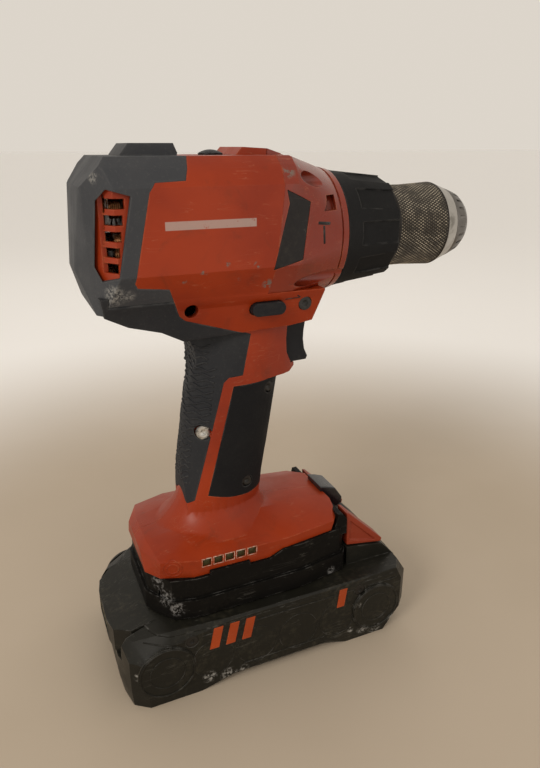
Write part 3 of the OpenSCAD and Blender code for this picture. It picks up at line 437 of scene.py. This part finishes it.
def surface(*names):
    """Ray-casting tree over the shapes of some CAD nodes at rest."""
    verts, faces = [], []
    for n in names:
        base = len(verts)
        verts += [v.co.copy() for v in nodes[n].data.vertices]
        faces += [[base + i for i in p.vertices] for p in nodes[n].data.polygons]
    return BVHTree.FromPolygons(verts, faces)


def ridge(verts, faces, path, normals, width, height, closed=False, sunk=0.25 * MM):
    """Adds a low raised line with a flat top that follows a path lying on a surface."""
    n = len(path)
    start = len(verts)
    for i, (p, up) in enumerate(zip(path, normals)):
        ahead = path[(i + 1) % n] if closed or i < n - 1 else p
        behind = path[i - 1] if closed or i > 0 else p
        along = (ahead - behind).normalized()
        side = along.cross(up).normalized()
        taper = 0.25 if not closed and i in (0, n - 1) else 1.0
        for across, lift in ((-0.5, -sunk), (-0.28, height * taper), (0.28, height * taper), (0.5, -sunk)):
            verts.append(p + side * (across * width) + up * lift)
    for i in range(n if closed else n - 1):
        a, b = start + 4 * i, start + 4 * ((i + 1) % n)
        for k in range(4):
            faces.append([a + k, b + k, b + (k + 1) % 4, a + (k + 1) % 4])
    if not closed:
        faces.append([start + k for k in (3, 2, 1, 0)])
        end = start + 4 * (n - 1)
        faces.append([end + k for k in (0, 1, 2, 3)])


def cast_side(tree, points, side):
    """Drops (x, z) points in mm onto the surface from the right (-1) or the left (1)."""
    path, normals = [], []
    for x, z in points:
        hit, normal, _, _ = tree.ray_cast(Vector((x * MM, side * 0.1, z * MM)), Vector((0, -side, 0)))
        if hit is not None:
            path.append(hit)
            normals.append(normal if normal.y * side > 0 else -normal)
    return path, normals


def circle(cx, cz, r, n):
    """Points (x, z) in mm round a full circle."""
    return [(cx + r * math.cos(math.radians(360.0 * i / n)),
             cz + r * math.sin(math.radians(360.0 * i / n))) for i in range(n)]


def knurled_sleeve():
    """The chuck's sleeve with its diamond knurl cut for real, standing for the plain CAD sleeve."""
    starts, per_start = 84, 4             # diamonds round the sleeve, points per diamond
    around = starts * per_start
    bore = 17.4 * MM
    x0, length, radius = 48.0, 28.0, 19.6  # knurled part, mm
    straight, flare = 12.0, 0.9            # length before it widens, and by how much
    rows, depth, slope = 104, 0.38, 0.62   # depth of the cuts, and their slope along the sleeve
    profile = [(46.0, 18.6), (47.0, 19.1), (x0, radius)]
    profile += [(x0 + length * k / rows,
                 radius + flare * max(0.0, (length * k / rows - straight) / (length - straight)))
                for k in range(1, rows + 1)]
    pitch = 2 * math.pi * radius / starts

    def wave(t):
        return abs((t % 1.0) * 2.0 - 1.0)

    verts, faces, tips = [], [], []
    for x, r in profile:
        inside = min(1.0, max(0.0, (x - 48.6) / 0.5)) * min(1.0, max(0.0, (75.4 - x) / 0.5))
        for j in range(around):
            u, v = j / per_start, (x - x0) / pitch * slope
            tip = min(1.0, 1.5 * min(wave(u + v), wave(u - v)))
            rr = (r - depth * inside * (1.0 - tip)) * MM
            a = 2 * math.pi * j / around
            verts.append((x * MM, rr * math.cos(a), AXIS_Z + rr * math.sin(a)))
            tips.append(tip * inside)
    outer_rows = len(profile)
    for x in (profile[-1][0], profile[0][0]):
        for j in range(around):
            a = 2 * math.pi * j / around
            verts.append((x * MM, bore * math.cos(a), AXIS_Z + bore * math.sin(a)))
            tips.append(0.0)
    total = outer_rows + 2
    for i in range(total):
        for j in range(around):
            k, n = (j + 1) % around, (i + 1) % total
            faces.append([i * around + j, i * around + k, n * around + k, n * around + j])
    obj = piece("knurled_sleeve", verts, faces, "knurled_steel", BODY_OF["chuck_sleeve"], smooth=False)
    layer = obj.data.attributes.new("tip", "FLOAT", "POINT")
    layer.data.foreach_set("value", tips)
    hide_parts("chuck_sleeve")


def grip_ridges():
    """Rows of short zigzag ridges wrapping round the back of the handle, and fainter ones lower down."""
    tree = surface("back_grip_right", "back_grip_left")
    verts, faces = [], []
    rows, top, pitch = 26, 169.0, 2.75
    foot_x, foot_height, lean = -41.8, 88, math.tan(math.radians(9.2))   # line the handle leans along
    for row in range(rows):
        z0 = top - row * pitch
        reach = 34.0 if row < 4 else (46.0 if row < 15 else 26.0)
        lift = 0.42 if 3 <= row < 15 else 0.2
        path, normals = [], []
        steps = 40
        for i in range(steps + 1):
            angle = math.radians(-reach + 2 * reach * i / steps)
            z = z0 + 0.8 * (2.0 * abs((i / 5.0 + row * 0.5) % 2.0 - 1.0) - 1.0)
            centre = Vector((foot_x * MM + (z - foot_height) * MM * lean, 0, z * MM))
            outward = Vector((-math.cos(angle), math.sin(angle), 0))
            hit, normal, _, _ = tree.ray_cast(centre + outward * 0.08, -outward)
            if hit is not None:
                path.append(hit)
                normals.append(normal if normal.dot(outward) > 0 else -normal)
        if len(path) > 3:
            ridge(verts, faces, path, normals, 1.25 * MM, lift * MM)
    piece("grip_ridges", verts, faces, "grip_rubber", "housing")


def battery_rings():
    """Faint rims where the cells sit behind the case, and the double rims on the two end lobes."""
    tree = surface("battery_tray")
    for side, label in ((-1, "right"), (1, "left")):
        verts, faces = [], []
        for i in range(CELL_COUNT):
            cx = (CELL_X0 + i * CELL_PITCH) / MM
            end = i in (0, CELL_COUNT - 1)
            rims = ((13.4, 1.0, 0.45), (8.6, 0.7, 0.25)) if end else ((10.7, 0.6, 0.14),)
            for r, width, lift in rims:
                cz = 19.5 if end else CELL_Z / MM + 0.6
                path, normals = cast_side(tree, circle(cx, cz, r, 64), side)
                if len(path) > 8:
                    ridge(verts, faces, path, normals, width * MM, lift * MM, closed=True, sunk=0.4 * MM)
        for z, x0, x1 in ((34.4, -92, 46), (9.6, -44, 2)):
            path, normals = cast_side(tree, [(x0 + (x1 - x0) * k / 40, z) for k in range(41)], side)
            ridge(verts, faces, path, normals, 0.9 * MM, 0.3 * MM)
        piece(f"battery_rims_{label}", verts, faces, "battery_plastic", "battery")


def small_marks():
    """Pale frames round the status windows, a plain mode symbol, a direction arrow and rings on the foot."""
    tree = surface("right_shell", "status_windows")
    verts, faces = [], []
    for i in range(WINDOW_COUNT):
        x0, x1 = (x + WINDOW_PITCH * i for x in WINDOW_X)
        z0, z1 = WINDOW_Z
        corners = [(x0, z0), (x1, z0), (x1, z1), (x0, z1)]
        loop = [tuple(a + (b - a) * t / 4 for a, b in zip(corners[k], corners[(k + 1) % 4]))
                for k in range(4) for t in range(4)]
        path, normals = cast_side(tree, loop, -1)
        ridge(verts, faces, path, normals, 0.5 * MM, 0.12 * MM, closed=True)
    piece("window_frames", verts, faces, "frame_paint", "housing")

    verts, faces = [], []
    tree = surface("gear_housing")
    for points, width in (([(1.6, 214.9), (1.1, 222.6)], 1.6), ([(-2.0, 223.9), (4.4, 223.3)], 2.0)):
        (xa, za), (xb, zb) = points
        line = [(xa + (xb - xa) * k / 8, za + (zb - za) * k / 8) for k in range(9)]
        path, normals = cast_side(tree, line, -1)
        ridge(verts, faces, path, normals, width * MM, 0.08 * MM)
    piece("mode_symbol", verts, faces, "inlay_plastic", "housing")

    verts, faces = [], []
    tree = surface("right_shell", "left_shell")
    for side in (-1, 1):
        path, normals = cast_side(tree, [(-14.2 + 0.75 * k, 190.7 + 0.04 * k) for k in range(11)], side)
        ridge(verts, faces, path, normals, 0.8 * MM, 0.1 * MM)
        path, normals = cast_side(tree, [(-6.9, 191.1), (-7.8, 191.7), (-8.7, 192.3)], side)
        ridge(verts, faces, path, normals, 0.8 * MM, 0.1 * MM)
    piece("direction_marks", verts, faces, "inlay_plastic", "housing")

    verts, faces = [], []
    for r, width in ((4.3, 0.6), (2.6, 0.9)):
        path, normals = cast_side(tree, circle(-74.2, 67.6, r, 40), -1)
        ridge(verts, faces, path, normals, width * MM, 0.22 * MM, closed=True)
    piece("foot_rings", verts, faces, "red_shell", "housing")


knurled_sleeve()
grip_ridges()
battery_rings()
small_marks()


# ------------------------------------------------------------------ stage, light and camera

def floor_material():
    """Warm table tone round the tool, fading to the pale tone of the room."""
    m = Mat("pale_table")
    near = m.mix(m.ramp(m.noise(3.0, 4), 0.3, 0.7), (0.44, 0.365, 0.28), (0.49, 0.41, 0.32))
    away = m.node("ShaderNodeVectorMath", operation="LENGTH")
    m.feed(away.inputs[0], m.coord)
    tone = m.mix(m.ramp(away.outputs["Value"], 0.2, 0.62), near, (0.97, 0.96, 0.95))
    dull = m.ramp(m.noise(9), 0.3, 0.7, 0.55, 0.68)
    return m.finish(tone, dull, m.noise(500, 3), 0.05 * MM, 0.3, soft_edge=None, specular=0.25)


def stage():
    """A floor wide enough to run out of sight."""
    size = 30.0
    mesh = bpy.data.meshes.new("floor")
    corners = [(-size, -size, 0), (size, -size, 0), (size, size, 0), (-size, size, 0)]
    mesh.from_pydata(corners, [], [(0, 1, 2, 3)])
    floor = bpy.data.objects.new("floor", mesh)
    scene.collection.objects.link(floor)
    mesh.materials.append(floor_material())


def area_light(name, place, target, size, power, colour):
    data = bpy.data.lights.new(name, "AREA")
    data.shape = "DISK"
    data.size = size
    data.energy = power
    data.color = colour
    lamp = bpy.data.objects.new(name, data)
    lamp.location = place
    lamp.rotation_mode = "QUATERNION"
    lamp.rotation_quaternion = (Vector(target) - Vector(place)).to_track_quat("-Z", "Y")
    scene.collection.objects.link(lamp)


def light():
    """Soft light from the room, one stronger lamp from the tool's rear right and two weak ones."""
    world = bpy.data.worlds.new("pale_room")
    world.use_nodes = True
    world.node_tree.nodes["Background"].inputs["Color"].default_value = (0.80, 0.74, 0.66, 1)
    world.node_tree.nodes["Background"].inputs["Strength"].default_value = 0.9
    scene.world = world
    centre = (-0.02, 0.0, 0.15)
    area_light("key", (-0.85, -0.55, 0.75), centre, 0.35, 4.5, (1.0, 0.95, 0.88))
    area_light("fill", (0.6, -1.0, 0.5), centre, 0.9, 1.2, (1.0, 0.96, 0.92))
    area_light("rim", (0.2, 0.9, 0.9), centre, 0.6, 0.8, (1.0, 0.97, 0.94))


def camera():
    """Close to the tool, to its right and a little behind, level with the top of the head."""
    data = bpy.data.cameras.new("camera")
    data.sensor_width = 36.0
    data.lens = 29.28
    data.clip_start = 0.01
    cam = bpy.data.objects.new("camera", data)
    yaw, pitch, roll = math.radians(23.49), math.radians(20.88), math.radians(-0.08)
    forward = Vector((math.sin(yaw) * math.cos(pitch), math.cos(yaw) * math.cos(pitch), -math.sin(pitch)))
    cam.location = Vector((-129.5, -272.55, 254.6)) * MM
    cam.rotation_mode = "QUATERNION"
    cam.rotation_quaternion = forward.to_track_quat("-Z", "Y") @ Matrix.Rotation(roll, 4, "Z").to_quaternion()
    scene.collection.objects.link(cam)
    scene.camera = cam


stage()
light()
camera()
scene.view_settings.view_transform = "Standard"
